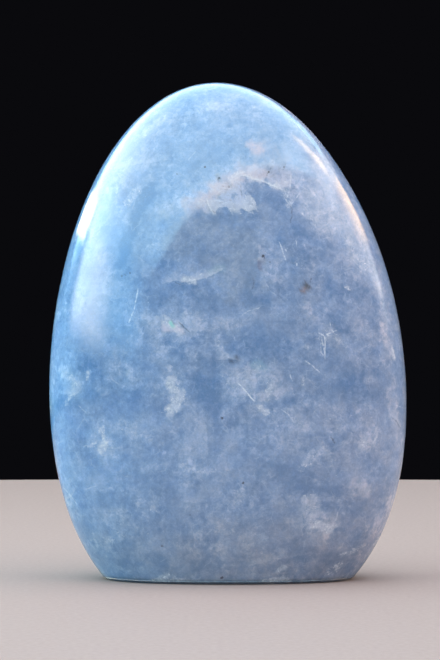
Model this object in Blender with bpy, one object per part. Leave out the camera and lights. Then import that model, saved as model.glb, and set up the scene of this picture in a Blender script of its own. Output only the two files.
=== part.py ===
"""Polished freeform of blue calcite: one stone, an upright egg a little flattened from front to back.

It was ground and polished by hand, so the outline leans a little and the faces swell gently.
A small flat spot is ground across the blunt end, and the stone stands on it.
+Z is up, the broad polished front looks along -Y, and the origin is the middle of the flat spot.
"""

import math

import bmesh
import bpy
from mathutils import Vector, noise

MM = 0.001

# Outline. The stone is a unit ball pulled into an egg: s is a height on that ball, 0 at its equator and
# 1 at the tip, and its level in the stone is MIDDLE + STRETCH*s + SHARPEN*s^2 - SOFTEN*s^3.
MIDDLE = 40.3 * MM
STRETCH = 62.75 * MM
SHARPEN = 8.6 * MM
SOFTEN = 1.45 * MM
HALF_WIDTH = 39.65 * MM
HALF_DEPTH = 20.5 * MM

# The hand-ground outline leans to the left: its middle line is shifted by -(LEAN*s + BEND*s^2).
LEAN = 1.20 * MM
BEND = 1.44 * MM

# Fullness of the cross-section: 2 is an ellipse, and more is a flatter face with rounder shoulders.
FRONT_FULLNESS = 2.45
BACK_FULLNESS = 2.2

# Swells left by the polishing wheel, broad and short: length of a swell, its height, and where it starts.
BROAD_SWELL = (27.0 * MM, 0.16 * MM, Vector((4.3, 7.9, 3.2)))
SHORT_SWELL = (11.0 * MM, 0.025 * MM, Vector((5.3, 0.4, 8.6)))

# The flat spot cuts the ball at this height, where the level of the egg is 0, and its rim is rounded off.
FLAT_SPOT = -0.7225
RIM_WIDTH = 0.8 * MM
RIM_STEPS = 3

# Facets along a side of the cube that the ball is made from, and rows from its equator to the flat spot.
# Points of the cube less than HAIR below the equator are on it, and a ring smaller than HAIR is the pole.
FACETS = 28
WALL_ROWS = 14
HAIR = 1e-6

CALCITE_COLOUR = (0.19, 0.30, 0.49, 1.0)
CALCITE_ROUGHNESS = 0.12


def egg_point(direction):
    """Point of the smooth egg for a unit direction of the ball."""
    s = direction.z
    ring = math.hypot(direction.x, direction.y)
    level = MIDDLE + STRETCH * s + SHARPEN * s ** 2 - SOFTEN * s ** 3
    middle_line = -(LEAN * s + BEND * s ** 2)
    if ring < HAIR:
        return Vector((middle_line, 0.0, level))
    across = direction.x / ring
    towards = direction.y / ring
    face_fullness = FRONT_FULLNESS if towards < 0.0 else BACK_FULLNESS
    fullness = 2.0 + (face_fullness - 2.0) * ring ** 2
    reach = ring * (abs(across) ** fullness + abs(towards) ** fullness) ** (-1.0 / fullness)
    return Vector((middle_line + HALF_WIDTH * across * reach, HALF_DEPTH * towards * reach, level))


def polished(point):
    """The same point moved out or in by the gentle swells of hand polishing."""
    level = point.z - MIDDLE
    outward = Vector((point.x / HALF_WIDTH ** 2, point.y / HALF_DEPTH ** 2, level / STRETCH ** 2))
    height = 0.0
    for length, high, start in (BROAD_SWELL, SHORT_SWELL):
        height += high * noise.noise(point / length + start)
    return point + outward.normalized() * height


def upper_ball():
    """Upper half of a unit ball, made from a cube with an even grid on each side, so no pole pinches it."""
    ball = bmesh.new()
    bmesh.ops.create_cube(ball, size=2.0)
    bmesh.ops.subdivide_edges(ball, edges=ball.edges[:], cuts=FACETS - 1, use_grid_fill=True)
    below = [vert for vert in ball.verts if vert.co.z < -HAIR]
    bmesh.ops.delete(ball, geom=below, context="VERTS")
    for vert in ball.verts:
        vert.co = Vector([math.tan(0.25 * math.pi * value) for value in vert.co]).normalized()
    return ball


def next_ring(body, open_edges):
    """Extrude the open edge of the shell by one ring, and return its edges and its points."""
    made = bmesh.ops.extrude_edge_only(body, edges=open_edges)["geom"]
    edges = [item for item in made if isinstance(item, bmesh.types.BMEdge) and item.is_boundary]
    points = {vert for edge in edges for vert in edge.verts}
    return edges, points


def stone_mesh():
    """The whole stone: ball, wall down to the flat spot, egg shape, rounded rim and flat spot."""
    body = upper_ball()
    open_edges = [edge for edge in body.edges if edge.is_boundary]
    for row in range(1, WALL_ROWS + 1):
        open_edges, points = next_ring(body, open_edges)
        s = math.sin(math.asin(FLAT_SPOT) * row / WALL_ROWS)
        for vert in points:
            vert.co = Vector((vert.co.x, vert.co.y, 0.0)).normalized() * math.sqrt(1.0 - s * s)
            vert.co.z = s
    for vert in body.verts:
        vert.co = polished(egg_point(vert.co))

    # The wall stops one rim width short of the flat spot, and a curve rounds it over on to the spot.
    wall_end = {}
    for vert in points:
        foot = Vector((vert.co.x, vert.co.y, 0.0))
        above = next(edge.other_vert(vert) for edge in vert.link_edges if not edge.is_boundary)
        up_the_wall = (above.co - foot).normalized() * RIM_WIDTH
        on_the_spot = -foot.normalized() * RIM_WIDTH
        vert.co = foot + up_the_wall
        wall_end[vert] = (foot, up_the_wall, on_the_spot)
    for step in range(1, RIM_STEPS + 1):
        open_edges, points = next_ring(body, open_edges)
        turned = step / RIM_STEPS
        rim = {}
        for vert in points:
            above = next(edge.other_vert(vert) for edge in vert.link_edges if not edge.is_boundary)
            foot, up_the_wall, on_the_spot = wall_end[above]
            vert.co = foot + up_the_wall * (1.0 - turned) ** 2 + on_the_spot * turned ** 2
            rim[vert] = wall_end[above]
        wall_end = rim
    bmesh.ops.edgeloop_fill(body, edges=open_edges)
    bmesh.ops.recalc_face_normals(body, faces=body.faces[:])

    # The origin is the middle of the stone's own box, on the flat spot.
    low = [min(vert.co[axis] for vert in body.verts) for axis in range(3)]
    high = [max(vert.co[axis] for vert in body.verts) for axis in range(3)]
    shift = Vector((-(low[0] + high[0]) / 2.0, -(low[1] + high[1]) / 2.0, -low[2]))
    bmesh.ops.translate(body, verts=body.verts[:], vec=shift)

    mesh = bpy.data.meshes.new("stone")
    body.to_mesh(mesh)
    body.free()
    mesh.shade_smooth()
    return mesh


def calcite():
    """Pale blue polished calcite."""
    material = bpy.data.materials.new("blue_calcite")
    material.use_nodes = True
    shader = material.node_tree.nodes["Principled BSDF"]
    shader.inputs["Base Color"].default_value = CALCITE_COLOUR
    shader.inputs["Roughness"].default_value = CALCITE_ROUGHNESS
    shader.inputs["Metallic"].default_value = 0.0
    return material


for old in list(bpy.data.objects):
    bpy.data.objects.remove(old, do_unlink=True)

stone = bpy.data.objects.new("stone", stone_mesh())
stone.data.materials.append(calcite())
bpy.context.scene.collection.objects.link(stone)
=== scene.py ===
import math

import bmesh
import bpy
import numpy as np
from mathutils import Matrix, Vector, noise
from mathutils.bvhtree import BVHTree


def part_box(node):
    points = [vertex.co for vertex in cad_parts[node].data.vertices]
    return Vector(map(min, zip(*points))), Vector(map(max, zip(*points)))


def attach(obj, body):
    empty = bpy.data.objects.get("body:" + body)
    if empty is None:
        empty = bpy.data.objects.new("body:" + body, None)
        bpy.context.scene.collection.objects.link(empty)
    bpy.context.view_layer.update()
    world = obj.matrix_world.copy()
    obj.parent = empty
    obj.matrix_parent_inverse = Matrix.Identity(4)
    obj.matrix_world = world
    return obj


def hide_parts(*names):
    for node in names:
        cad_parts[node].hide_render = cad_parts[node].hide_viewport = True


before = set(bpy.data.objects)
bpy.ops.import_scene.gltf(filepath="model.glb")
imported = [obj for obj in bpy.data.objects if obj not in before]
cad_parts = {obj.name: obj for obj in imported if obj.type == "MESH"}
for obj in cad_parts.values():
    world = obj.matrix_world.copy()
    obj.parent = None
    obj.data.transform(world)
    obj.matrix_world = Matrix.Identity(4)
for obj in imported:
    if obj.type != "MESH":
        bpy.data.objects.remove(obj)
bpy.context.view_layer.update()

MM = 0.001

# The camera.
# A short telephoto lens half a metre in front of the stone and level with its middle.
# Its picture is 440 by 660 pixels, and a mark on the stone is placed by the pixel that shows it.
PICTURE_WIDTH = 440
PICTURE_HEIGHT = 660
EYE = Vector((-1.75, -500.0, 52.0)) * MM
TILT_UP = math.radians(0.36)
FOCAL_PIXELS = 2247.0
SENSOR_HEIGHT = 36.0

FORWARD = Vector((0.0, math.cos(TILT_UP), math.sin(TILT_UP)))
UPWARD = Vector((0.0, -math.sin(TILT_UP), math.cos(TILT_UP)))

lens = bpy.data.cameras.new("camera")
lens.sensor_fit = "VERTICAL"
lens.sensor_height = SENSOR_HEIGHT
lens.lens = SENSOR_HEIGHT * FOCAL_PIXELS / PICTURE_HEIGHT
lens.clip_start = 0.01
camera = bpy.data.objects.new("camera", lens)
camera.location = EYE
camera.rotation_euler = (math.pi / 2.0 + TILT_UP, 0.0, 0.0)
bpy.context.scene.collection.objects.link(camera)
bpy.context.scene.camera = camera


def ray_through(pixel):
    """Direction from the eye through a pixel of the picture."""
    right = (pixel[0] - PICTURE_WIDTH / 2.0) / FOCAL_PIXELS
    up = (PICTURE_HEIGHT / 2.0 - pixel[1]) / FOCAL_PIXELS
    return (FORWARD + Vector((right, 0.0, 0.0)) + UPWARD * up).normalized()


# The stone.
# One lump of blue calcite, sawn, ground to an upright egg by hand and polished on a felt wheel.
# The flat spot that it stands on is ground last, and its rim is rounded off so that it doesn't chip.
MIDDLE = 40.3 * MM
STRETCH = 62.75 * MM
SHARPEN = 8.6 * MM
SOFTEN = 1.45 * MM
HALF_WIDTH = 39.65 * MM
HALF_DEPTH = 20.5 * MM
LEAN = 1.20 * MM
BEND = 1.44 * MM
FRONT_FULLNESS = 2.45
BACK_FULLNESS = 2.2
BROAD_SWELL = (27.0 * MM, 0.16 * MM, Vector((4.3, 7.9, 3.2)))
SHORT_SWELL = (11.0 * MM, 0.025 * MM, Vector((5.3, 0.4, 8.6)))
FLAT_SPOT = -0.7225
RIM_WIDTH = 0.8 * MM
RIM_STEPS = 6
FACETS = 124
WALL_ROWS = 62


def egg_point(direction):
    """Point of the smooth egg for a unit direction of the ball."""
    s = direction.z
    ring = math.hypot(direction.x, direction.y)
    level = MIDDLE + STRETCH * s + SHARPEN * s ** 2 - SOFTEN * s ** 3
    middle_line = -(LEAN * s + BEND * s ** 2)
    if ring < 1e-6:
        return Vector((middle_line, 0.0, level))
    across = direction.x / ring
    towards = direction.y / ring
    face_fullness = FRONT_FULLNESS if towards < 0.0 else BACK_FULLNESS
    fullness = 2.0 + (face_fullness - 2.0) * ring ** 2
    spread = (abs(across) ** fullness + abs(towards) ** fullness) ** (-1.0 / fullness)
    return Vector((middle_line + HALF_WIDTH * ring * across * spread, HALF_DEPTH * ring * towards * spread, level))


def polished(point):
    """The same point moved out or in by the gentle swells of hand polishing."""
    outward = Vector((point.x / HALF_WIDTH ** 2, point.y / HALF_DEPTH ** 2, (point.z - MIDDLE) / STRETCH ** 2))
    height = 0.0
    for length, high, start in (BROAD_SWELL, SHORT_SWELL):
        height += high * noise.noise(point / length + start)
    return point + outward.normalized() * height


def next_ring(body, open_edges):
    """Extrude the open edge of the shell by one ring, and return its edges and its points."""
    made = bmesh.ops.extrude_edge_only(body, edges=open_edges)["geom"]
    edges = [item for item in made if isinstance(item, bmesh.types.BMEdge) and item.is_boundary]
    points = {vert for edge in edges for vert in edge.verts}
    return edges, points


def stone_body():
    """The stone as a fine closed mesh, made as the CAD solid is and laid in its box."""
    body = bmesh.new()
    bmesh.ops.create_cube(body, size=2.0)
    bmesh.ops.subdivide_edges(body, edges=body.edges[:], cuts=FACETS - 1, use_grid_fill=True)
    below = [vert for vert in body.verts if vert.co.z < -0.1 / FACETS]
    bmesh.ops.delete(body, geom=below, context="VERTS")
    for vert in body.verts:
        vert.co = Vector([math.tan(0.25 * math.pi * value) for value in vert.co]).normalized()
    open_edges = [edge for edge in body.edges if edge.is_boundary]
    for row in range(1, WALL_ROWS + 1):
        open_edges, points = next_ring(body, open_edges)
        s = math.sin(math.asin(FLAT_SPOT) * row / WALL_ROWS)
        for vert in points:
            vert.co = Vector((vert.co.x, vert.co.y, 0.0)).normalized() * math.sqrt(1.0 - s * s)
            vert.co.z = s
    for vert in body.verts:
        vert.co = polished(egg_point(vert.co))

    # The wall is pulled up one rim width, and a curve rounds it over on to the flat spot.
    wall_end = {}
    for vert in points:
        foot = Vector((vert.co.x, vert.co.y, 0.0))
        above = next(edge.other_vert(vert) for edge in vert.link_edges if not edge.is_boundary)
        up_the_wall = (above.co - foot).normalized() * RIM_WIDTH
        on_the_spot = -foot.normalized() * RIM_WIDTH
        vert.co = foot + up_the_wall
        wall_end[vert] = (foot, up_the_wall, on_the_spot)
    for step in range(1, RIM_STEPS + 1):
        open_edges, points = next_ring(body, open_edges)
        turned = step / RIM_STEPS
        rim = {}
        for vert in points:
            above = next(edge.other_vert(vert) for edge in vert.link_edges if not edge.is_boundary)
            foot, up_the_wall, on_the_spot = wall_end[above]
            vert.co = foot + up_the_wall * (1.0 - turned) ** 2 + on_the_spot * turned ** 2
            rim[vert] = wall_end[above]
        wall_end = rim
    bmesh.ops.edgeloop_fill(body, edges=open_edges)
    bmesh.ops.recalc_face_normals(body, faces=body.faces[:])

    # The facets of the CAD solid cut the swells a little short, so the mesh is drawn in to its box.
    low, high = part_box("stone")
    for axis in range(3):
        values = [vert.co[axis] for vert in body.verts]
        start = min(values)
        scale = (high[axis] - low[axis]) / (max(values) - start)
        for vert in body.verts:
            vert.co[axis] = low[axis] + (vert.co[axis] - start) * scale
    return body


stone_bmesh = stone_body()
stone_tree = BVHTree.FromBMesh(stone_bmesh)
stone_mesh = bpy.data.meshes.new("calcite_stone")
stone_bmesh.to_mesh(stone_mesh)
stone_bmesh.free()
stone_mesh.shade_smooth()
stone = bpy.data.objects.new("calcite_stone", stone_mesh)
bpy.context.scene.collection.objects.link(stone)

# Marks inside the stone. What the picture shows is placed by the pixels of its path, with a reach to each
# side in millimetres, a soft border in millimetres and a strength. The rest of the stone has marks of the
# same kinds, strewn at random.
PALE_CLOUDS = (
    (((178, 206), (205, 195), (225, 181), (245, 167), (268, 172), (290, 184)), 1.4, 3.0, 0.50),
    (((160, 207), (175, 198), (190, 185)), 0.8, 2.0, 0.12),
    (((252, 172), (268, 177), (284, 184)), 0.7, 1.2, 0.55),
    (((210, 199), (222, 194), (235, 189)), 1.4, 1.2, 0.75),
    (((212, 205), (226, 203), (238, 204)), 1.2, 0.8, 0.70),
    (((294, 190), (298, 204)), 1.0, 1.8, 0.32),
    (((308, 216), (316, 230)), 1.0, 2.0, 0.28),
    (((240, 214), (242, 220)), 0.8, 1.4, 0.30),
    (((137, 350), (141, 360)), 0.8, 1.6, 0.26),
    (((112, 364), (120, 368)), 0.8, 1.6, 0.22),
    (((128, 516), (137, 517)), 0.8, 1.6, 0.24),
    (((176, 178), (181, 180)), 0.8, 1.6, 0.18),
    (((168, 314), (174, 319)), 0.8, 1.4, 0.16),
    (((180, 365), (184, 370)), 0.6, 1.4, 0.18),
    (((168, 526), (175, 530)), 0.8, 1.6, 0.16),
    (((280, 531), (287, 532)), 0.8, 1.6, 0.16),
    (((319, 487), (324, 489)), 0.6, 1.2, 0.16),
    (((196, 107), (220, 106), (232, 99)), 1.0, 1.6, 0.35),
    (((262, 240), (276, 258), (268, 284), (282, 298)), 1.8, 2.5, 0.35),
    (((312, 306), (318, 314)), 0.8, 1.2, 0.40),
    (((172, 272), (190, 275), (212, 268)), 0.9, 1.6, 0.35),
    (((148, 128), (165, 120)), 0.6, 1.2, 0.35),
    (((128, 165), (150, 166)), 0.5, 1.4, 0.30),
    (((160, 325), (180, 329), (196, 322)), 1.5, 1.8, 0.50),
    (((218, 342), (224, 354), (231, 357)), 0.7, 1.0, 0.45),
    (((219, 322), (236, 323), (243, 314)), 1.0, 1.6, 0.35),
    (((152, 350), (162, 358)), 0.8, 1.2, 0.30),
    (((175, 385), (177, 408)), 1.0, 2.0, 0.35),
    (((198, 424), (203, 438), (192, 450)), 2.0, 0.8, 0.30),
    (((142, 468), (165, 464)), 0.5, 1.0, 0.30),
    (((182, 467), (198, 472), (212, 469)), 0.8, 1.0, 0.25),
    (((186, 487), (195, 500)), 1.2, 0.9, 0.30),
    (((212, 535), (232, 552)), 2.6, 2.2, 0.25),
    (((252, 536), (262, 556)), 1.6, 1.8, 0.28),
    (((144, 546), (163, 542)), 1.4, 1.0, 0.22),
    (((64, 374), (76, 390)), 1.3, 1.4, 0.40),
    (((99, 436), (104, 450)), 1.8, 2.0, 0.35),
    (((116, 430), (134, 430)), 1.2, 1.4, 0.25),
    (((114, 516), (120, 536)), 1.4, 1.6, 0.28),
    (((90, 488), (100, 484)), 0.8, 1.4, 0.25),
    (((236, 382), (262, 372), (272, 390), (262, 408)), 2.2, 2.0, 0.40),
    (((286, 398), (300, 426)), 1.2, 1.8, 0.22),
    (((318, 426), (338, 414)), 1.8, 1.8, 0.25),
    (((312, 456), (322, 452)), 0.9, 1.0, 0.35),
    (((312, 504), (318, 518), (330, 526)), 2.2, 0.7, 0.55),
    (((357, 484), (366, 490)), 1.1, 1.0, 0.35),
    (((346, 456), (352, 476)), 1.0, 1.4, 0.25),
    (((376, 430), (362, 446)), 0.9, 1.4, 0.30),
    (((392, 388), (394, 414)), 1.2, 1.0, 0.45),
    (((348, 262), (362, 272), (378, 286)), 1.6, 1.8, 0.35),
    (((383, 334), (392, 352)), 0.6, 1.0, 0.35),
    (((330, 200), (322, 225)), 1.6, 2.0, 0.22),
    (((300, 345), (312, 352)), 0.8, 1.2, 0.22),
    (((268, 440), (285, 430)), 2.2, 2.0, 0.22),
    (((130, 375), (150, 382)), 1.6, 2.0, 0.20),
)
DEEP_POOLS = (
    (((258, 284), (262, 296)), 1.4, 2.2, 0.50),
    (((300, 158), (302, 176)), 1.0, 2.0, 0.42),
    (((209, 264), (218, 262)), 1.2, 2.0, 0.50),
    (((262, 414), (264, 426)), 1.2, 2.0, 0.48),
    (((286, 292), (293, 296)), 1.2, 1.8, 0.42),
    (((218, 428), (225, 424)), 1.0, 1.8, 0.42),
    (((258, 446), (263, 452)), 1.0, 1.8, 0.36),
    (((373, 312), (376, 328)), 0.7, 1.2, 0.32),
    (((214, 340), (216, 346)), 0.6, 1.4, 0.26),
    (((196, 412), (198, 418)), 0.6, 1.4, 0.26),
    (((240, 561), (250, 561)), 0.6, 1.4, 0.26),
    (((246, 363), (251, 367)), 0.8, 1.4, 0.22),
    (((300, 518), (303, 519)), 0.8, 1.4, 0.20),
    (((161, 439), (166, 439)), 0.8, 1.4, 0.20),
    (((252, 188), (262, 196), (282, 204)), 1.4, 1.4, 0.22),
    (((216, 217), (236, 214), (256, 216)), 0.6, 1.6, 0.40),
    (((175, 285), (194, 286)), 0.5, 1.0, 0.50),
    (((203, 296), (206, 312)), 1.6, 1.6, 0.42),
    (((156, 260), (162, 266)), 0.5, 0.9, 0.45),
    (((150, 285), (158, 300)), 1.2, 1.6, 0.25),
    (((247, 262), (247, 300)), 0.7, 1.4, 0.25),
    (((290, 236), (302, 256)), 1.6, 1.8, 0.35),
    (((332, 286), (344, 290)), 1.0, 1.0, 0.40),
    (((336, 322), (346, 330)), 1.1, 1.5, 0.42),
    (((356, 290), (372, 294)), 1.2, 1.0, 0.25),
    (((255, 338), (276, 346)), 1.8, 2.2, 0.30),
    (((212, 368), (200, 390), (214, 404)), 1.7, 1.8, 0.45),
    (((90, 394), (108, 399)), 1.2, 1.0, 0.25),
    (((82, 364), (96, 372)), 1.2, 1.5, 0.35),
    (((128, 404), (158, 402)), 1.2, 1.8, 0.28),
    (((114, 438), (122, 436)), 0.6, 0.9, 0.40),
    (((80, 446), (94, 460)), 1.4, 1.2, 0.26),
    (((108, 498), (124, 504)), 1.5, 1.4, 0.38),
    (((154, 480), (166, 492)), 1.6, 1.6, 0.35),
    (((118, 546), (124, 562)), 1.2, 0.8, 0.38),
    (((150, 556), (164, 560)), 0.8, 1.2, 0.35),
    (((196, 566), (214, 565)), 0.7, 1.2, 0.40),
    (((240, 420), (252, 440)), 1.6, 2.4, 0.28),
    (((286, 472), (302, 484)), 1.5, 1.8, 0.50),
    (((308, 490), (314, 494)), 0.6, 1.0, 0.40),
    (((322, 492), (340, 490)), 0.7, 1.0, 0.45),
    (((324, 506), (334, 506)), 0.8, 0.4, 0.45),
    (((300, 556), (344, 562)), 1.4, 2.6, 0.40),
    (((338, 386), (372, 392)), 1.4, 1.8, 0.32),
    (((338, 364), (350, 374)), 1.2, 1.8, 0.30),
    (((368, 498), (376, 516)), 1.6, 1.8, 0.25),
    (((262, 464), (276, 470)), 1.2, 1.6, 0.30),
    (((60, 405), (74, 404)), 0.9, 0.8, 0.45),
    (((282, 404), (290, 400)), 0.8, 1.0, 0.40),
    (((124, 196), (128, 206)), 0.7, 1.2, 0.35),
    (((152, 188), (140, 205), (133, 225), (127, 243), (122, 262)), 0.5, 1.2, 0.75),
    # This pool and the SHADOW tint paint the shadow under a pale lump inside the stone.
    (((227, 361), (236, 359)), 0.2, 0.9, 0.35),
    (((170, 272), (182, 270)), 0.3, 0.8, 0.20),
)
WHITE_CRUMBS = (
    (((200, 203), (208, 200), (216, 202), (228, 203), (240, 206), (250, 205)), 1.1, 1.0, 0.52),
    (((208, 198), (220, 194), (230, 188), (237, 184)), 1.0, 0.8, 0.45),
    (((215, 190), (224, 185), (233, 177), (243, 172), (252, 179), (262, 180), (279, 188)), 0.4, 0.8, 0.90),
    (((247, 200), (250, 207), (252, 208)), 0.9, 0.6, 0.90),
    (((228, 180), (236, 173), (243, 172), (249, 178), (260, 180)), 0.2, 0.35, 1.20),
    (((204, 200), (209, 206), (214, 213)), 0.15, 0.35, 1.10),
    (((217, 208), (226, 208), (234, 211), (243, 209)), 0.1, 0.35, 1.05),
    (((322, 335), (326, 335)), 0.2, 0.25, 1.20),
    (((337, 340), (338, 341)), 0.1, 0.3, 1.10),
    (((342, 344), (343, 345)), 0.1, 0.3, 1.10),
    (((331, 323), (332, 324)), 0.1, 0.3, 1.10),
    (((246, 391), (252, 399)), 0.2, 0.4, 0.90),
    (((285, 181), (287, 183)), 0.1, 0.4, 1.00),
    (((291, 186), (293, 189)), 0.1, 0.4, 1.00),
    (((174, 276), (184, 278)), 0.3, 1.1, 0.60),
    (((185, 280), (194, 281)), 0.3, 0.6, 1.15),
    (((196, 279), (206, 275), (221, 268)), 0.2, 1.0, 0.60),
    (((158, 320), (168, 325), (180, 331)), 0.5, 0.9, 0.85),
    (((157, 349), (161, 357)), 0.4, 0.8, 0.60),
    (((219, 344), (227, 356)), 0.5, 0.8, 0.60),
    (((222, 319), (236, 323)), 0.5, 1.0, 0.50),
    (((171, 384), (177, 394), (176, 404), (172, 410)), 0.8, 1.2, 1.05),
    (((184, 388), (183, 396)), 0.15, 0.8, 0.60),
    (((102, 432), (104, 440), (103, 449)), 0.6, 1.2, 0.95),
    (((103, 434), (105, 446)), 0.25, 0.5, 1.25),
    (((165, 316), (168, 319)), 0.15, 0.4, 1.10),
    (((177, 330), (182, 333)), 0.15, 0.4, 1.00),
    (((112, 447), (124, 446)), 0.1, 0.8, 0.60),
    (((88, 446), (98, 442)), 0.2, 0.5, 0.80),
    (((70, 377), (76, 389)), 0.5, 1.2, 0.72),
    (((62, 377), (68, 374)), 0.2, 1.0, 0.55),
    (((71, 394), (66, 406)), 0.2, 0.9, 0.70),
    (((180, 466), (193, 470), (206, 473), (214, 470)), 0.3, 0.6, 0.80),
    (((234, 382), (250, 373), (262, 372), (270, 384)), 0.7, 1.4, 0.60),
    (((271, 384), (268, 394)), 0.4, 0.7, 0.90),
    (((259, 408), (266, 411)), 0.5, 0.6, 1.10),
    (((288, 412), (296, 423)), 0.3, 0.8, 0.60),
    (((296, 424), (308, 428)), 0.5, 1.2, 0.50),
    (((303, 377), (303, 384)), 0.3, 0.6, 0.70),
    (((302, 468), (309, 463)), 0.2, 1.1, 0.75),
    (((312, 456), (321, 450)), 0.6, 0.9, 0.70),
    (((308, 500), (314, 510), (310, 522)), 0.9, 1.2, 0.60),
    (((318, 526), (332, 529)), 0.8, 0.9, 1.00),
    (((312, 496), (338, 500)), 0.2, 0.6, 0.60),
    (((370, 406), (371, 417)), 0.3, 0.5, 0.90),
    (((377, 429), (377, 436), (374, 443)), 0.3, 0.5, 0.95),
    (((361, 445), (366, 444)), 0.6, 0.7, 0.75),
    (((358, 486), (366, 488)), 0.8, 0.9, 0.50),
    (((304, 346), (309, 349)), 0.3, 0.5, 0.85),
    (((320, 338), (330, 330)), 0.6, 1.0, 0.60),
    (((285, 190), (289, 204)), 0.5, 1.2, 0.60),
    (((306, 214), (314, 226)), 0.5, 1.4, 0.50),
    (((344, 236), (352, 246)), 0.3, 1.2, 0.55),
    (((352, 258), (366, 268)), 0.7, 1.6, 0.60),
    (((296, 256), (300, 266)), 0.3, 1.2, 0.55),
    (((136, 190), (126, 204)), 0.3, 1.2, 0.75),
    (((278, 571), (284, 568)), 0.5, 0.6, 0.95),
    (((342, 554), (356, 550)), 0.3, 0.6, 0.80),
    (((330, 572), (340, 566)), 0.6, 0.9, 0.65),
    (((106, 541), (114, 540)), 0.4, 0.6, 0.80),
    (((114, 531), (122, 536)), 0.5, 0.8, 0.65),
    (((152, 508), (160, 513)), 0.3, 0.7, 0.80),
    (((136, 504), (138, 505)), 0.2, 0.4, 0.95),
    (((151, 440), (152, 442)), 0.2, 0.4, 0.95),
    (((150, 579), (168, 578), (187, 580)), 0.5, 0.6, 0.85),
    (((118, 426), (133, 432)), 0.7, 1.1, 0.50),
    (((88, 371), (88, 377)), 0.3, 0.5, 1.00),
    (((392, 348), (394, 357)), 0.3, 0.5, 0.95),
    (((347, 288), (350, 289)), 0.3, 0.4, 1.00),
    (((236, 505), (246, 486)), 0.4, 1.2, 0.45),
    (((142, 468), (160, 465)), 0.3, 0.7, 0.45),
    (((200, 108), (226, 104)), 0.6, 1.0, 0.45),
    (((336, 338), (346, 345)), 0.3, 0.8, 0.60),
    (((316, 414), (340, 428)), 0.6, 1.6, 0.40),
    (((326, 458), (340, 470)), 0.4, 1.4, 0.35),
    (((250, 545), (264, 540)), 0.6, 1.6, 0.35),
    (((176, 440), (186, 452)), 0.4, 1.2, 0.35),
)
# A cleavage sheet meets the surface in a sharp edge and fades away inwards, to the left of its path.
SHEETS = (
    (((207, 204), (211, 212), (214, 214), (217, 208), (226, 208), (234, 211), (243, 209), (249, 212), (256, 210), (257, 203), (252, 197)), 2.6, 1.0),
    (((168, 283), (176, 281), (188, 283), (197, 280), (206, 278), (221, 271)), 2.0, 0.80),
    (((236, 180), (241, 176), (250, 178), (262, 182), (281, 190)), 1.1, 1.1),
    (((304, 531), (304, 516), (308, 500)), 3.4, 0.45),
    (((208, 456), (209, 440), (206, 424)), 3.0, 0.35),
    (((221, 360), (230, 359), (239, 361)), 1.6, 0.55),
    (((392, 417), (396, 420), (399, 425)), 2.0, 0.70),
    (((120, 169), (134, 165), (152, 163), (166, 160)), 2.5, 0.30),
    (((186, 503), (198, 503)), 2.4, 0.30),
    (((66, 395), (76, 396), (80, 392)), 2.6, 0.50),
    (((102, 512), (126, 512)), 1.6, 0.22),
    (((336, 470), (330, 452), (320, 444)), 2.4, 0.25),
    (((246, 320), (259, 309)), 1.8, 0.35),
    (((128, 448), (96, 449)), 2.4, 0.25),
    (((282, 300), (270, 290), (264, 276)), 2.2, 0.30),
    (((250, 566), (276, 560), (300, 556)), 2.2, 0.28),
)
BRIGHT_CRACKS = (
    (((213, 213), (209, 206), (207, 199)), 0.9),
    (((247, 176), (256, 179), (266, 182), (275, 187)), 1.0),
    (((231, 180), (237, 174), (244, 172)), 0.7),
    (((320, 336), (327, 334), (336, 331)), 1.2),
    (((325, 334), (325, 346), (325, 358)), 1.1),
    (((322, 336), (321, 345), (321, 353)), 0.9),
    (((330, 323), (331, 327)), 1.0),
    (((319, 333), (323, 336), (328, 338)), 1.0),
    (((336, 339), (340, 342)), 0.7),
    (((138, 290), (136, 300), (134, 310), (129, 322)), 1.1),
    (((136, 291), (135, 299)), 0.9),
    (((279, 241), (283, 252), (286, 261)), 1.1),
    (((287, 249), (284, 256)), 0.8),
    (((296, 240), (297, 247)), 0.8),
    (((297, 263), (297, 267)), 1.0),
    (((291, 176), (290, 188), (287, 198)), 1.0),
    (((299, 194), (295, 200), (291, 205)), 0.9),
    (((284, 196), (287, 202)), 0.9),
    (((280, 188), (284, 193)), 0.7),
    (((305, 361), (313, 366), (319, 372)), 1.1),
    (((309, 361), (316, 366)), 0.7),
    (((289, 370), (290, 376), (293, 382)), 0.9),
    (((238, 383), (245, 390), (251, 398), (254, 401)), 1.3),
    (((241, 316), (248, 311), (259, 308)), 0.6),
    (((265, 282), (271, 291), (281, 299)), 0.4),
    (((79, 406), (86, 412)), 0.6),
    (((84, 446), (97, 443)), 0.7),
    (((106, 448), (122, 448)), 0.4),
    (((64, 488), (71, 496), (76, 503)), 0.8),
    (((86, 489), (96, 486)), 0.5),
    (((282, 410), (288, 414), (294, 422)), 0.7),
    (((392, 348), (395, 358)), 0.8),
    (((188, 160), (195, 152)), 0.4),
    (((200, 199), (208, 203), (216, 200), (228, 203)), 0.7),
    (((216, 194), (226, 188), (236, 190)), 0.6),
    (((366, 545), (342, 554)), 0.4),
    (((330, 528), (336, 520), (338, 512)), 0.5),
    (((180, 466), (184, 471)), 0.7),
    (((118, 384), (112, 379)), 0.4),
)
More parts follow.
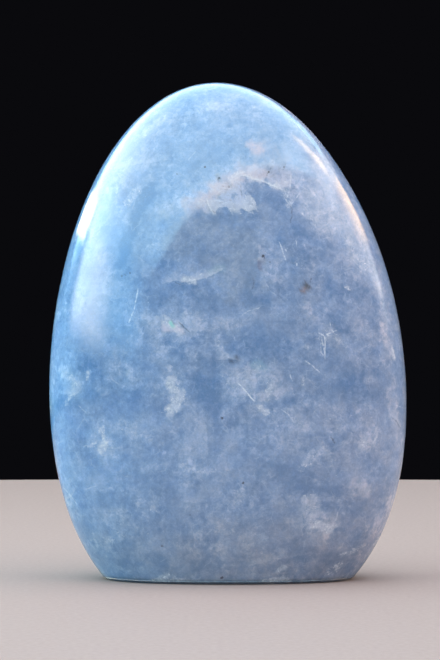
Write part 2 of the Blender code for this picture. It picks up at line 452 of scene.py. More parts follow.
DARK_CRACKS = (
    (((178, 321), (184, 327), (191, 334)), 0.9),
    (((213, 197), (222, 194), (231, 189)), 0.40),
    (((219, 203), (229, 200), (238, 202)), 0.35),
    (((240, 181), (241, 190), (242, 198)), 0.40),
    (((292, 209), (292, 216), (290, 224)), 0.8),
    (((253, 279), (254, 285), (252, 289)), 0.7),
    (((393, 419), (397, 422), (400, 428)), 0.8),
    (((331, 437), (335, 443)), 0.9),
    (((225, 361), (231, 363), (237, 362)), 0.35),
    (((216, 175), (219, 181)), 0.9),
    (((222, 186), (227, 187), (231, 184)), 1.0),
    (((266, 178), (268, 172), (272, 167)), 1.0),
    (((283, 170), (286, 163)), 0.6),
    (((309, 289), (312, 277)), 0.5),
    (((212, 210), (216, 214)), 0.6),
    (((175, 282), (181, 285)), 0.8),
    (((288, 204), (292, 210)), 0.5),
)
# Specks of dark ore: pixel and radius in millimetres.
DARK_SPECKS = (
    ((205, 167), 0.22), ((177, 174), 0.14), ((219, 178), 0.22), ((229, 187), 0.18), ((269, 172), 0.18),
    ((263, 256), 0.28), ((311, 279), 0.14), ((222, 418), 0.30), ((243, 483), 0.30), ((162, 546), 0.26),
    ((222, 578), 0.32), ((284, 167), 0.16), ((333, 440), 0.20),
    ((270, 262), 0.14), ((122, 276), 0.20), ((130, 273), 0.16), ((190, 515), 0.14),
)
# Iron stains and other tints: path, reach, softness, strength and colour.
RUST = (0.10, 0.085, 0.075)
AMBER = (0.34, 0.21, 0.15)
DUSK = (0.13, 0.13, 0.24)
DUSKY_PINK = (0.66, 0.52, 0.56)
SEA_GREEN = (0.30, 0.75, 0.70)
ROSE = (0.85, 0.62, 0.62)
GREY_VEIL = (0.31, 0.36, 0.44)
GREY_LILAC = (0.52, 0.50, 0.58)
LILAC = (0.72, 0.66, 0.80)
SHADOW = (0.09, 0.11, 0.15)
TINTS = (
    (((306, 284), (308, 287)), 0.2, 0.4, 0.80, RUST),
    (((302, 290), (305, 290)), 0.2, 0.5, 0.60, AMBER),
    (((259, 262), (260, 269)), 0.25, 0.5, 0.70, DUSK),
    (((264, 259), (262, 264)), 0.15, 0.4, 0.50, DUSK),
    (((285, 163), (281, 170)), 0.2, 0.7, 0.28, RUST),
    (((268, 168), (272, 176)), 0.2, 0.7, 0.28, RUST),
    (((253, 280), (254, 287)), 0.1, 0.4, 0.30, RUST),
    (((217, 175), (220, 180)), 0.15, 0.5, 0.40, RUST),
    (((228, 186), (231, 184)), 0.1, 0.4, 0.35, RUST),
    (((190, 205), (205, 198), (226, 184), (246, 170), (262, 174)), 0.7, 1.6, 0.45, DUSKY_PINK),
    (((186, 236), (214, 230), (240, 244), (238, 275)), 2.5, 5.0, 0.30, GREY_VEIL),
    (((253, 146), (258, 149)), 0.4, 1.8, 0.62, ROSE),
    (((262, 152), (274, 158), (282, 166), (266, 168)), 1.4, 2.8, 0.30, GREY_LILAC),
    (((171, 322), (172, 326)), 0.2, 0.4, 0.85, SEA_GREEN),
    (((163, 326), (169, 330)), 0.3, 0.7, 0.60, LILAC),
    (((176, 328), (182, 331)), 0.2, 0.7, 0.50, LILAC),
    # A painted shadow under a pale lump inside the stone.
    (((230, 361), (237, 359)), 0.2, 0.4, 0.75, SHADOW),
    (((255, 364), (264, 366)), 0.5, 0.9, 0.10, SEA_GREEN),
    (((210, 272), (222, 268)), 0.3, 0.7, 0.12, SEA_GREEN),
)


def on_stone(pixel):
    """The place on the stone, in millimetres, that a pixel of the picture shows."""
    place = stone_tree.ray_cast(EYE, ray_through(pixel))[0]
    return np.array(place) / MM


def shown(marks):
    """Marks with the pixels of their paths turned into places on the stone."""
    return [([on_stone(pixel) for pixel in mark[0]],) + tuple(mark[1:]) for mark in marks]


points = np.empty(len(stone_mesh.vertices) * 3)
stone_mesh.vertices.foreach_get("co", points)
points = points.reshape(-1, 3) / MM
outward = np.empty(len(stone_mesh.vertices) * 3)
stone_mesh.vertices.foreach_get("normal", outward)
outward = outward.reshape(-1, 3)
hidden = np.flatnonzero(np.einsum("ij,ij->i", outward, np.array(EYE) / MM - points) < 60.0)
chance = np.random.default_rng(20)


def strewn(count, length, bends):
    """Paths of random bends over the part of the stone that the picture doesn't show."""
    paths = []
    for start in chance.choice(hidden, count):
        place = points[start]
        heading = chance.normal(size=3)
        reach = length * chance.uniform(0.5, 1.5) / bends
        path = [place]
        for bend in range(bends):
            heading = heading / np.linalg.norm(heading) + 0.45 * chance.normal(size=3)
            facing = np.array(stone_tree.find_nearest(Vector(place * MM))[1])
            heading -= facing * heading.dot(facing)
            ahead = place + reach * heading / np.linalg.norm(heading)
            place = np.array(stone_tree.find_nearest(Vector(ahead * MM))[0]) / MM
            path.append(place)
        paths.append(path)
    return paths


def smooth_step(value):
    """0 up to 0, 1 from 1 on, and a soft S between."""
    value = np.clip(value, 0.0, 1.0)
    return value * value * (3.0 - 2.0 * value)


def beside(path):
    """For every point of the mesh: how far it is from a path, how far to its left, and past its ends."""
    distance = np.full(len(points), 1e6)
    leftward = np.full(len(points), 1e6)
    for start, end in zip(path[:-1], path[1:]):
        along = end - start
        length = np.linalg.norm(along)
        along /= length
        facing = np.array(stone_tree.find_nearest(Vector((start + end) / 2.0 * MM))[1])
        left = np.cross(facing, along)
        left /= np.linalg.norm(left)
        to_point = points - start
        foot = np.clip(to_point @ along, 0.0, length)
        here = np.linalg.norm(to_point - foot[:, None] * along, axis=1)
        nearer = here < distance
        distance[nearer] = here[nearer]
        leftward[nearer] = (to_point @ left)[nearer]
    past_end = np.sqrt(np.clip(distance ** 2 - leftward ** 2, 0.0, None))
    return distance, leftward, past_end


# No patch has a drawn outline: its border wanders by a part of its size, finer and finer.
WANDER_GRAIN = 2.4
WANDER = 0.6
wander = np.array([noise.fractal(Vector(point / WANDER_GRAIN), 0.7, 2.2, 4) for point in points])


def patch(path, reach, soft):
    """1 within reach of a path, falling to 0 over a soft border."""
    distance = beside(path)[0] + WANDER * (reach + soft) * wander
    return 1.0 - smooth_step((distance - reach) / soft)


# Clouds and pools add up, and crumbs keep the thickest.
milk = np.zeros(len(points))
for path, reach, soft, strength in shown(PALE_CLOUDS):
    milk += strength * patch(path, reach, soft)
for path, reach, soft, strength in shown(DEEP_POOLS):
    milk -= strength * patch(path, reach, soft)
for path in strewn(70, 6.0, 2):
    milk += chance.uniform(0.2, 0.5) * patch(path, chance.uniform(0.5, 2.2), chance.uniform(0.8, 2.4))
for path in strewn(70, 5.0, 2):
    milk -= chance.uniform(0.2, 0.5) * patch(path, chance.uniform(0.5, 1.8), chance.uniform(0.8, 2.0))

crumbs = np.zeros(len(points))
for path, reach, soft, strength in shown(WHITE_CRUMBS):
    crumbs = np.maximum(crumbs, strength * patch(path, reach, soft))
for path in strewn(80, 4.0, 3):
    crumbs = np.maximum(crumbs, chance.uniform(0.4, 1.0) * patch(path, chance.uniform(0.2, 0.8), 1.0))

tint = np.zeros((len(points), 4))
hidden_tints = [(path, 0.4, 0.8, 0.5, RUST) for path in strewn(12, 1.5, 2)]
for path, reach, soft, strength, colour in shown(TINTS) + hidden_tints:
    cover = strength * patch(path, reach, soft)
    tint[:, :3] += (np.array(colour) - tint[:, :3]) * (cover / np.maximum(cover + tint[:, 3], 1e-6))[:, None]
    tint[:, 3] = np.maximum(tint[:, 3], cover)

# The nearest sheet or crack is kept as the distance to its left and as a weight, which the material
# turns into an edge much finer than the mesh.
CRACK_REACH = 0.9


def nearest_lines(marks, reach_left, reach_right, end_fade):
    """Distance to the left of the strongest line near each point, and its weight."""
    across = np.full(len(points), 9.0)
    weight = np.zeros(len(points))
    for path, width, strength in marks:
        distance, leftward, past_end = beside(path)
        leftward = leftward / width
        near = (leftward < reach_left) & (leftward > -reach_right)
        here = strength * (1.0 - smooth_step(past_end / end_fade)) * near
        here = here * (1.0 - smooth_step(np.abs(leftward) / max(reach_left, reach_right) * 1.6 - 0.6))
        stronger = here > weight
        across[stronger] = leftward[stronger]
        weight[stronger] = here[stronger]
    return across, weight


sheets = shown(SHEETS) + [
    (path, chance.uniform(1.6, 4.0), chance.uniform(0.2, 0.7)) for path in strewn(36, 9.0, 4)
]
sheet_across, sheet_weight = nearest_lines(sheets, 1.2, 0.4, 1.6)
bright = [(path, CRACK_REACH, strength) for path, strength in shown(BRIGHT_CRACKS)] + [
    (path, CRACK_REACH, chance.uniform(0.4, 1.0)) for path in strewn(60, 4.5, 2)
]
bright_across, bright_weight = nearest_lines(bright, 1.0, 1.0, 0.5)
dark = [(path, CRACK_REACH, strength) for path, strength in shown(DARK_CRACKS)] + [
    (path, CRACK_REACH, chance.uniform(0.4, 0.9)) for path in strewn(14, 3.0, 2)
]
dark_across, dark_weight = nearest_lines(dark, 1.0, 1.0, 0.4)

speck_offset = np.full((len(points), 3), 9.0)
speck_near = np.full(len(points), 9.0)
specks = [(on_stone(pixel), radius) for pixel, radius in DARK_SPECKS]
specks += [(points[index], chance.uniform(0.12, 0.3)) for index in chance.choice(hidden, 40)]
for place, radius in specks:
    offset = points - place
    distance = np.linalg.norm(offset, axis=1)
    nearer = distance < speck_near
    speck_near[nearer] = distance[nearer]
    speck_offset[nearer] = offset[nearer] / radius
speck_weight = 1.0 - smooth_step((speck_near - 0.8) / 0.6)

for name, values in (
    ("milk", milk), ("crumbs", crumbs), ("sheet_across", sheet_across), ("sheet_weight", sheet_weight),
    ("bright_across", bright_across), ("bright_weight", bright_weight), ("dark_across", dark_across),
    ("dark_weight", dark_weight), ("speck_weight", speck_weight),
):
    stone_mesh.attributes.new(name, "FLOAT", "POINT").data.foreach_set("value", values)
stone_mesh.attributes.new("speck_offset", "FLOAT_VECTOR", "POINT").data.foreach_set("vector", speck_offset.ravel())
stone_mesh.attributes.new("tint", "FLOAT_COLOR", "POINT").data.foreach_set("color", tint.ravel())


def node(tree, kind, inputs=None, **settings):
    """A shader node with its settings, its values and its wires."""
    made = tree.nodes.new(kind)
    for name, value in settings.items():
        setattr(made, name, value)
    for name, value in (inputs or {}).items():
        if isinstance(value, bpy.types.NodeSocket):
            tree.links.new(value, made.inputs[name])
        else:
            made.inputs[name].default_value = value
    return made


calcite = bpy.data.materials.new("polished_blue_calcite")
calcite.use_nodes = True
tree = calcite.node_tree
tree.nodes.clear()


def sum_of(first, second, operation="ADD"):
    """The two values added, or put together by another operation."""
    return node(tree, "ShaderNodeMath", {0: first, 1: second}, operation=operation).outputs[0]


def product(first, second):
    """The two values multiplied."""
    return sum_of(first, second, "MULTIPLY")


def step(value, start, end, low=0.0, high=1.0):
    """A value eased from low to high while another goes from start to end."""
    return node(tree, "ShaderNodeMapRange", {
        "Value": value, "From Min": start, "From Max": end, "To Min": low, "To Max": high,
    }, interpolation_type="SMOOTHSTEP").outputs["Result"]


def painted(name, output="Fac"):
    """A field that was painted on the mesh."""
    return node(tree, "ShaderNodeAttribute", attribute_name=name).outputs[output]


def cloud(where, grain, detail, roughness, seed):
    """Soft noise about 0, with clouds of a given grain in millimetres."""
    where = node(tree, "ShaderNodeVectorMath", {0: where, 1: (97.0 * seed, 31.0 * seed, 0.0)}).outputs[0]
    noise_texture = node(tree, "ShaderNodeTexNoise", {
        "Vector": where, "Scale": 1.0 / grain, "Detail": detail, "Roughness": roughness,
    })
    return sum_of(noise_texture.outputs["Fac"], -0.5)


def bent(where, grain, distance, detail):
    """Places pushed about by a noise, so that no pattern on them looks ruled."""
    push = node(tree, "ShaderNodeTexNoise", {"Vector": where, "Scale": 1.0 / grain, "Detail": detail})
    push = node(tree, "ShaderNodeVectorMath", {0: push.outputs["Color"], 1: (0.5, 0.5, 0.5)}, operation="SUBTRACT")
    push = node(tree, "ShaderNodeVectorMath", {0: push.outputs[0], "Scale": 2.0 * distance}, operation="SCALE")
    return node(tree, "ShaderNodeVectorMath", {0: where, 1: push.outputs[0]}).outputs[0]


def blocks(where, grain):
    """Cleavage blocks: each has a shade of its own that slopes across it, about 0 on average."""
    cells = node(tree, "ShaderNodeTexVoronoi", {"Vector": where, "Scale": 1.0 / grain, "Randomness": 0.9})
    inside = node(tree, "ShaderNodeVectorMath", {0: where, 1: cells.outputs["Position"]}, operation="SUBTRACT")
    tilt = node(tree, "ShaderNodeVectorMath", {0: cells.outputs["Color"], 1: (0.5, 0.5, 0.5)}, operation="SUBTRACT")
    slope = node(tree, "ShaderNodeVectorMath", {0: inside.outputs[0], 1: tilt.outputs[0]}, operation="DOT_PRODUCT")
    shade = node(tree, "ShaderNodeSeparateColor", {"Color": cells.outputs["Color"]}).outputs["Red"]
    return sum_of(product(slope.outputs["Value"], 1.6 / grain), sum_of(shade, -0.5))


def plates(where, grain, seed):
    """Broad torn plates, each with a crisp edge that fades out in places, about 0 on average."""
    edge = step(cloud(where, grain, 6.0, 0.62, seed), 0.0, 0.035, -1.0, 1.0)
    return product(edge, step(cloud(where, grain * 0.8, 1.0, 0.5, seed + 0.5), -0.12, 0.16))


def veins(where, grain, width):
    """Thin healed cracks along the borders of cells, 1 on the line."""
    cells = node(tree, "ShaderNodeTexVoronoi", {"Vector": where, "Scale": 1.0 / grain}, feature="DISTANCE_TO_EDGE")
    return step(cells.outputs["Distance"], 0.0, width / grain, 1.0, 0.0)


def needles(where, turn, seed):
    """Short thin strokes along one cleavage direction."""
    drawn = node(tree, "ShaderNodeMapping", {
        "Vector": where, "Rotation": (0.3, turn, 0.5), "Scale": (6.0, 1.0, 1.0),
    }, vector_type="TEXTURE")
    return step(cloud(drawn.outputs["Vector"], 0.26, 2.0, 0.6, seed), 0.15, 0.28)


def flakes(where, grain, length, turn, seed):
    """Feathery flakes drawn out along one cleavage direction of the crystal."""
    drawn = node(tree, "ShaderNodeMapping", {
        "Vector": where, "Rotation": (0.3, turn, 0.5), "Scale": (length, 1.0, 1.0),
    }, vector_type="TEXTURE")
    return cloud(drawn.outputs["Vector"], grain, 4.0, 0.68, seed)


def over(below, cover, colour, blend="MIX"):
    """A colour laid over another by a cover from 0 to 1, or put together with it by another blend."""
    laid = node(tree, "ShaderNodeMix", {"Factor": cover}, data_type="RGBA", blend_type=blend)
    for socket, value in ((laid.inputs["A"], below), (laid.inputs["B"], colour)):
        if isinstance(value, bpy.types.NodeSocket):
            tree.links.new(value, socket)
        else:
            socket.default_value = value
    return laid.outputs["Result"]


place = node(tree, "ShaderNodeTexCoord").outputs["Object"]
in_mm = node(tree, "ShaderNodeVectorMath", {0: place, "Scale": 1.0 / MM}, operation="SCALE").outputs[0]
grown = bent(in_mm, 5.0, 1.6, 4.0)
torn = bent(in_mm, 0.8, 0.35, 3.0)

# Milkiness: broad drifts, clouds, feathery flakes in three directions and faint cleavage blocks.
drift = cloud(in_mm, 20.0, 1.0, 0.5, 1.0)
clouds = cloud(grown, 6.0, 7.0, 0.68, 2.0)
feathers = sum_of(flakes(torn, 1.1, 2.6, 0.35, 3.0), flakes(torn, 1.0, 2.4, 1.4, 4.0))
feathers = sum_of(feathers, flakes(torn, 1.2, 2.8, 2.5, 5.0))
feathers_show = step(cloud(grown, 7.0, 3.0, 0.6, 6.0), -0.16, 0.16, 0.45, 1.25)
large_blocks = blocks(bent(grown, 1.2, 0.5, 3.0), 8.0)
small_blocks = blocks(bent(in_mm, 1.5, 0.7, 4.0), 2.6)
tiny_blocks = blocks(bent(in_mm, 0.7, 0.35, 3.0), 1.15)
broad_plates = sum_of(plates(grown, 7.0, 22.0), plates(torn, 3.0, 24.0))
milky = sum_of(product(painted("milk"), 0.65), 0.452)
for field, share in (
    (drift, 0.35), (clouds, 0.80), (product(feathers, feathers_show), 0.74), (large_blocks, 0.08), (small_blocks, 0.09),
    (product(tiny_blocks, feathers_show), 0.20), (broad_plates, 0.075),
):
    milky = sum_of(milky, product(field, share))

colours = node(tree, "ShaderNodeValToRGB", {"Fac": milky})
ramp = colours.color_ramp
ramp.elements[0].position = 0.0
ramp.elements[0].color = (0.165, 0.280, 0.500, 1.0)
ramp.elements[1].position = 1.0
ramp.elements[1].color = (0.500, 0.585, 0.770, 1.0)
for spot, colour in ((0.3, (0.222, 0.338, 0.560, 1.0)), (0.5, (0.270, 0.385, 0.605, 1.0)),
                     (0.75, (0.355, 0.460, 0.670, 1.0))):
    stop = ramp.elements.new(spot)
    stop.color = colour
body = colours.outputs["Color"]

# The colour is a purer blue at the left and greyer and warmer towards the right: a painted tint of a cold light
# from the left and a warm light from the right. It is darker and warmer towards the foot: painted shade.
# Faint warm and cold patches and a fine neutral grain run through all of it.
spot = node(tree, "ShaderNodeSeparateXYZ", {"Vector": bent(in_mm, 18.0, 8.0, 2.0)}).outputs
body = over(body, 1.0, over((0.90, 1.02, 1.08, 1.0), step(spot["X"], -34.0, -6.0), (1.0, 1.0, 1.0, 1.0)), "MULTIPLY")
body = over(body, 1.0, over((1.0, 1.0, 1.01, 1.0), step(spot["X"], -20.0, 36.0), (1.10, 1.01, 0.97, 1.0)), "MULTIPLY")
body = over(body, 1.0, over((1.0, 0.89, 0.81, 1.0), step(spot["Z"], 0.0, 26.0), (1.0, 1.0, 1.0, 1.0)), "MULTIPLY")
warm = step(cloud(grown, 4.5, 3.0, 0.6, 16.0), -0.25, 0.25)
body = over(body, 1.0, over((0.955, 1.0, 1.035, 1.0), warm, (1.045, 1.0, 0.965, 1.0)), "MULTIPLY")
grit = cloud(torn, 0.42, 3.0, 0.7, 17.0)
grit_shade = sum_of(1.0, product(grit, 0.52))
body = over(body, 1.0, grit_shade, "MULTIPLY")

# Sheets: white at the sharp edge, thinning inwards, with a thin deep shade just outside.
sheet = sum_of(painted("sheet_across"), product(cloud(in_mm, 0.9, 4.0, 0.65, 7.0), 0.55))
sheet_edge = step(sheet, 0.0, 0.08)
thinning = step(sheet, 0.0, 1.0, 1.0, 0.0)
patchy = step(cloud(torn, 1.4, 4.0, 0.65, 8.0), -0.2, 0.15, 0.35, 1.0)
sheet_white = product(product(product(sheet_edge, thinning), painted("sheet_weight")), patchy)
sheet_shade = product(product(step(sheet, -0.25, 0.0), step(sheet, 0.0, 0.05, 1.0, 0.0)), painted("sheet_weight"))
body = over(body, product(sheet_shade, 0.35), (0.14, 0.24, 0.42, 1.0))
body = over(body, product(sheet_white, 0.72), (0.62, 0.67, 0.80, 1.0))

# Healed cracks, seen here and there as a fine pale net, and short pale and deep strokes of cleavage.
net = veins(bent(in_mm, 1.8, 0.5, 4.0), 3.4, 0.15)
net_shows = step(cloud(grown, 2.6, 2.0, 0.5, 26.0), 0.02, 0.18)
body = over(body, product(product(net, net_shows), 0.28), (0.56, 0.64, 0.80, 1.0))
strokes_show = step(cloud(grown, 3.2, 2.0, 0.6, 28.0), -0.06, 0.16)
pale_strokes = sum_of(needles(in_mm, 1.45, 29.0), needles(in_mm, 0.2, 30.0), "MAXIMUM")
deep_strokes = sum_of(needles(in_mm, 1.3, 31.0), needles(in_mm, 0.1, 32.0), "MAXIMUM")
body = over(body, product(product(deep_strokes, strokes_show), 0.22), (0.15, 0.24, 0.41, 1.0))
body = over(body, product(product(pale_strokes, strokes_show), 0.30), (0.60, 0.67, 0.80, 1.0))

# Crumbs: a milky haze with white grains in it, closest where the field is thick, and a few anywhere.
anywhere = step(cloud(grown, 4.0, 3.0, 0.65, 10.0), 0.04, 0.22, 0.0, 0.30)
thick = sum_of(painted("crumbs"), anywhere, "MAXIMUM")
haze = step(sum_of(product(thick, 0.62), product(cloud(torn, 1.1, 4.0, 0.7, 9.0), 1.5)), 0.15, 0.95, 0.0, 0.52)
grains = step(sum_of(product(thick, 0.17), cloud(torn, 0.6, 4.0, 0.75, 27.0)), 0.13, 0.33)
grains = product(grains, step(thick, 0.0, 0.25, 0.0, 0.85))
crumb_white = sum_of(haze, grains, "MAXIMUM")
body = over(body, haze, (0.68, 0.73, 0.84, 1.0))
body = over(body, grains, (0.78, 0.82, 0.91, 1.0))

# Cracks: bright where air stands in them, dark where they are dirty.
wiggle = cloud(in_mm, 1.1, 3.0, 0.6, 11.0)
broken = step(cloud(in_mm, 0.7, 2.0, 0.5, 12.0), -0.14, 0.12, 0.12, 1.0)
bright_line = node(tree, "ShaderNodeMath", {0: sum_of(painted("bright_across"), product(wiggle, 0.4))}, operation="ABSOLUTE")
bright_line = product(step(bright_line.outputs[0], 0.04, 0.24, 1.0, 0.0), painted("bright_weight"))
bright_line = product(bright_line, broken)
dark_line = node(tree, "ShaderNodeMath", {0: sum_of(painted("dark_across"), product(wiggle, 0.8))}, operation="ABSOLUTE")
dark_line = product(step(dark_line.outputs[0], 0.04, 0.24, 1.0, 0.0), painted("dark_weight"))
dark_line = product(dark_line, broken)
body = over(body, product(bright_line, 0.72), (0.80, 0.86, 0.95, 1.0))
body = over(body, product(dark_line, 0.60), (0.06, 0.07, 0.11, 1.0))

# Iron stains, thin rainbow films, and a painted shadow under a pale lump inside the stone.
tint_cover = product(painted("tint", "Alpha"), step(cloud(torn, 0.9, 4.0, 0.6, 13.0), -0.15, 0.10, 0.60, 1.0))
body = over(body, tint_cover, painted("tint", "Color"))

# Specks of dark ore with torn outlines.
speck = node(tree, "ShaderNodeVectorMath", {0: painted("speck_offset", "Vector")}, operation="LENGTH")
speck = sum_of(speck.outputs["Value"], product(cloud(in_mm, 0.5, 3.0, 0.65, 14.0), 2.8))
speck = product(step(speck, 0.5, 1.35, 1.0, 0.0), painted("speck_weight"))
body = over(body, product(speck, 0.78), (0.045, 0.04, 0.05, 1.0))

# The flat spot is ground and not polished, and the lowest millimetre and a half of the stone is darkened
# in a ragged band: painted shade where it meets the floor.
height_mm = node(tree, "ShaderNodeSeparateXYZ", {"Vector": in_mm}).outputs["Z"]
ground = step(height_mm, 0.05, 0.25, 1.0, 0.0)
rim_painted_shade = step(sum_of(height_mm, product(cloud(in_mm, 2.0, 4.0, 0.6, 18.0), 1.2)), 0.2, 1.6, 0.45, 1.0)
body = over(body, 1.0, sum_of(rim_painted_shade, product(ground, 0.45), "MAXIMUM"), "MULTIPLY")
roughness = step(cloud(in_mm, 9.0, 4.0, 0.6, 19.0), -0.2, 0.2, 0.05, 0.10)
roughness = sum_of(roughness, product(crumb_white, 0.10))
roughness = sum_of(roughness, product(ground, 0.45))

# The polish ripples faintly, and cracks and crumbs are open to the surface by a hair.
ripple = product(cloud(in_mm, 5.0, 2.0, 0.5, 20.0), 0.02)
open_marks = product(sum_of(sum_of(bright_line, dark_line), crumb_white), -0.006)
relief = sum_of(ripple, open_marks)
relief = sum_of(relief, product(product(cloud(in_mm, 0.35, 3.0, 0.7, 21.0), ground), 0.05))
bump = node(tree, "ShaderNodeBump", {"Height": relief, "Strength": 1.0, "Distance": MM})

shader = node(tree, "ShaderNodeBsdfPrincipled", {
    "Base Color": body,
    "Roughness": roughness,
    "Normal": bump.outputs["Normal"],
    "IOR": 1.6,
    "Subsurface Weight": 0.5,
    "Subsurface Radius": (0.9, 1.0, 1.1),
    "Subsurface Scale": 3.0 * MM,
})
output = node(tree, "ShaderNodeOutputMaterial", {"Surface": shader.outputs["BSDF"]})
stone_mesh.materials.append(calcite)

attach(stone, "root")
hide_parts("stone")

# The floor.
# A plain pale round table top, smooth and matt, that the stone stands on.
FLOOR_RADIUS = 0.9
FLOOR_BEHIND = 0.365

floor_bmesh = bmesh.new()
bmesh.ops.create_circle(floor_bmesh, cap_ends=True, segments=128, radius=FLOOR_RADIUS)
bmesh.ops.translate(floor_bmesh, verts=floor_bmesh.verts[:], vec=(0.0, FLOOR_BEHIND - FLOOR_RADIUS, 0.0))
floor_mesh = bpy.data.meshes.new("floor")
floor_bmesh.to_mesh(floor_mesh)
floor_bmesh.free()
floor = bpy.data.objects.new("floor", floor_mesh)
bpy.context.scene.collection.objects.link(floor)
table_paint = bpy.data.materials.new("table_paint")
table_paint.use_nodes = True
paint = table_paint.node_tree.nodes["Principled BSDF"]
paint.inputs["Roughness"].default_value = 0.7
speckle = node(table_paint.node_tree, "ShaderNodeTexNoise", {
    "Vector": node(table_paint.node_tree, "ShaderNodeTexCoord").outputs["Object"],
    "Scale": 900.0, "Detail": 4.0, "Roughness": 0.6,
})
shades = node(table_paint.node_tree, "ShaderNodeValToRGB", {"Fac": speckle.outputs["Fac"]})
shades.color_ramp.elements[0].position = 0.3
shades.color_ramp.elements[0].color = (0.322, 0.230, 0.211, 1.0)
shades.color_ramp.elements[1].position = 0.7
shades.color_ramp.elements[1].color = (0.370, 0.269, 0.245, 1.0)
table_paint.node_tree.links.new(shades.outputs["Color"], paint.inputs["Base Color"])
floor_mesh.materials.append(table_paint)

# The studio.
# Large softboxes stand round the stone: a tilted one overhead that comes down at the left, a bright one
# at the far left, and a pale one at the right with a bright edge.
# What a softbox shows in the polish and how much it lights the stone are set apart.
STONE_MIDDLE = Vector((0.0, 0.0, 0.06))


def softbox(name, corner, across, down, power, colour, polish=True, fill=True, feather=(0.0, 0.0, 0.0, 0.0)):
    """A flat softbox given by a corner and two sides from it, in metres from the middle of the stone."""
    corner, across, down = Vector(corner), Vector(across), Vector(down)
    middle = STONE_MIDDLE + corner + across / 2.0 + down / 2.0
    x_axis = across.normalized()
    z_axis = x_axis.cross(down).normalized()
    if z_axis.dot(middle - STONE_MIDDLE) < 0.0:
        z_axis = -z_axis
        feather = feather[:2] + (feather[3], feather[2])
    y_axis = z_axis.cross(x_axis)
    lamp = bpy.data.lights.new(name, "AREA")
    lamp.shape = "RECTANGLE"
    lamp.size = across.length
    lamp.size_y = down.length
    lamp.energy = power * across.length * down.length
    lamp.color = colour
    lamp.use_nodes = True
    tree = lamp.node_tree
    emission = tree.nodes["Emission"]
    spot = node(tree, "ShaderNodeSeparateXYZ",
                {"Vector": node(tree, "ShaderNodeNewGeometry").outputs["Parametric"]})
    edges = (
        (spot.outputs["X"], 0.0, feather[0]),
        (spot.outputs["X"], 1.0, 1.0 - feather[1]),
        (spot.outputs["Y"], 0.0, feather[2]),
        (spot.outputs["Y"], 1.0, 1.0 - feather[3]),
    )
    strength = None
    for value, dark, bright in edges:
        if dark == bright:
            continue
        ramp = node(tree, "ShaderNodeMapRange", {"Value": value, "From Min": dark, "From Max": bright},
                    interpolation_type="SMOOTHSTEP").outputs["Result"]
        if strength is None:
            strength = ramp
        else:
            strength = node(tree, "ShaderNodeMath", {0: strength, 1: ramp}, operation="MULTIPLY").outputs[0]
    if strength is not None:
        tree.links.new(strength, emission.inputs["Strength"])
    box = bpy.data.objects.new(name, lamp)
    box.location = middle
    box.rotation_euler = Matrix((x_axis, y_axis, z_axis)).transposed().to_euler()
    box.visible_camera = False
    box.visible_glossy = polish
    box.visible_diffuse = fill
    bpy.context.scene.collection.objects.link(box)


softbox("overhead_sky", (-0.425, -0.984, 0.316), (1.821, 0.557, 0.886), (-0.334, 1.350, -0.162), 13.2, (0.42, 0.77, 1.0),
        fill=False, feather=(0.07, 0.42, 0.06, 0.0))
softbox("sky_far_end", (0.42, 0.45, 0.707), (0.88, 0.11, 0.43), (0.0, 0.6, 0.0), 12.0, (0.50, 0.81, 1.0),
        fill=False, feather=(0.5, 0.3, 0.0, 0.3))
softbox("sky_back_edge", (-0.60, -0.30, 0.220), (1.7, 0.216, 0.826), (0.0, 0.70, 0.0), 7.0, (0.85, 1.0, 0.95),
        fill=False, feather=(0.1, 0.1, 0.9, 0.0))
softbox("far_left", (-0.64, -0.60, 0.225), (0.50, 0.0, 0.243), (0.0, 1.0, 0.08), 11.0, (1.0, 0.74, 0.40),
        fill=False, feather=(0.05, 0.6, 0.6, 0.0))
softbox("left_sky", (-1.0, -2.50, 0.08), (0.0, 2.60, 0.0), (0.0, 0.0, 0.78), 12.0, (0.22, 0.62, 1.0),
        fill=False, feather=(0.5, 0.05, 0.3, 0.45))
softbox("left_window", (-0.98, -1.08, 0.09), (0.0, 1.29, 0.0), (0.0, 0.0, 0.46), 16.8, (1.0, 0.90, 0.70),
        fill=False, feather=(0.45, 0.25, 0.26, 0.42))
softbox("left_band_end", (-0.96, 0.15, 0.37), (0.0, 1.2, 0.0), (0.0, 0.0, 0.20), 28.0, (1.0, 1.0, 0.75),
        fill=False, feather=(0.05, 0.2, 0.08, 0.4))
softbox("left_low_sky", (-0.93, -0.3, -0.055), (0.0, 2.1, 0.0), (0.0, 0.0, 0.30), 2.6, (0.46, 0.64, 0.90),
        fill=False, feather=(0.3, 0.1, 0.0, 0.7))
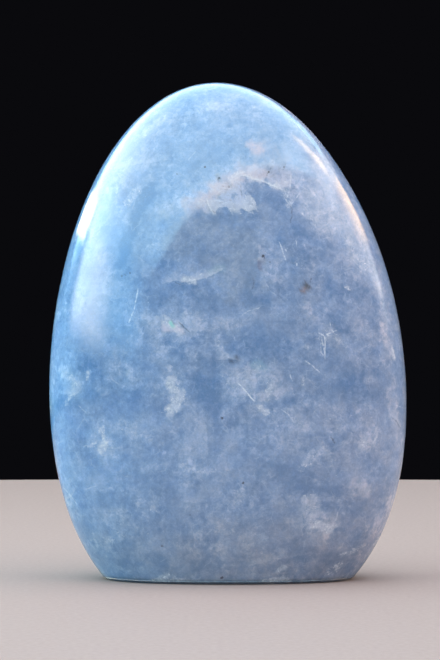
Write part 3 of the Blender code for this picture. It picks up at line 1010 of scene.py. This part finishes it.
softbox("right_card", (0.80, -1.393, 0.817), (0.0, 1.626, -0.748), (0.0, 0.3343, 0.7268), 8.2, (1.0, 0.96, 0.90),
        fill=False, feather=(0.30, 0.05, 0.21, 0.40))
softbox("sky_right_end", (0.82, -0.42, 0.57), (0.0, 1.10, 0.0), (0.0, 0.0, 0.26), 6.5, (0.92, 0.97, 1.0),
        fill=False, feather=(0.28, 0.08, 0.35, 0.30))
softbox("right_glow", (0.79, -0.269, 1.079), (0.0, 0.35, -0.54), (0.0, 0.187, 0.121), 20.0, (1.0, 0.66, 0.30),
        fill=False, feather=(0.4, 0.25, 0.45, 0.35))
softbox("right_edge", (0.78, -0.08, 0.63), (0.0, 0.0, -0.305), (0.0, 0.493, 0.0), 17.8, (1.0, 0.55, 0.14),
        fill=False, feather=(0.25, 0.35, 0.75, 0.0))
softbox("overhead_fill", (-0.7, -1.0, 1.2), (1.4, 0.0, 0.0), (0.0, 1.4, 0.0), 9.9, (0.99, 0.94, 0.96),
        polish=False)
softbox("left_fill", (-1.0, -0.9, 0.0), (0.0, 1.3, 0.0), (0.0, 0.0, 0.9), 26.0, (0.54, 0.96, 1.0),
        polish=False, feather=(0.0, 0.0, 0.0, 0.8))
softbox("right_fill", (1.0, -0.9, 0.0), (0.0, 1.3, 0.0), (0.0, 0.0, 0.9), 8.2, (1.0, 0.98, 0.92),
        polish=False)
softbox("front_fill", (-0.7, -1.2, -0.03), (1.4, 0.0, 0.0), (0.0, 0.0, 0.5), 3.3, (0.88, 0.97, 1.0),
        polish=False)
softbox("back_fill", (-0.7, 1.3, -0.03), (1.4, 0.0, 0.0), (0.0, 0.0, 0.9), 4.0, (0.88, 0.97, 1.0),
        polish=False)

room = bpy.data.worlds.new("room")
room.use_nodes = True
room.node_tree.nodes["Background"].inputs["Color"].default_value = (0.003, 0.003, 0.004, 1.0)
room.node_tree.nodes["Background"].inputs["Strength"].default_value = 1.0
bpy.context.scene.world = room
bpy.context.scene.view_settings.view_transform = "Standard"
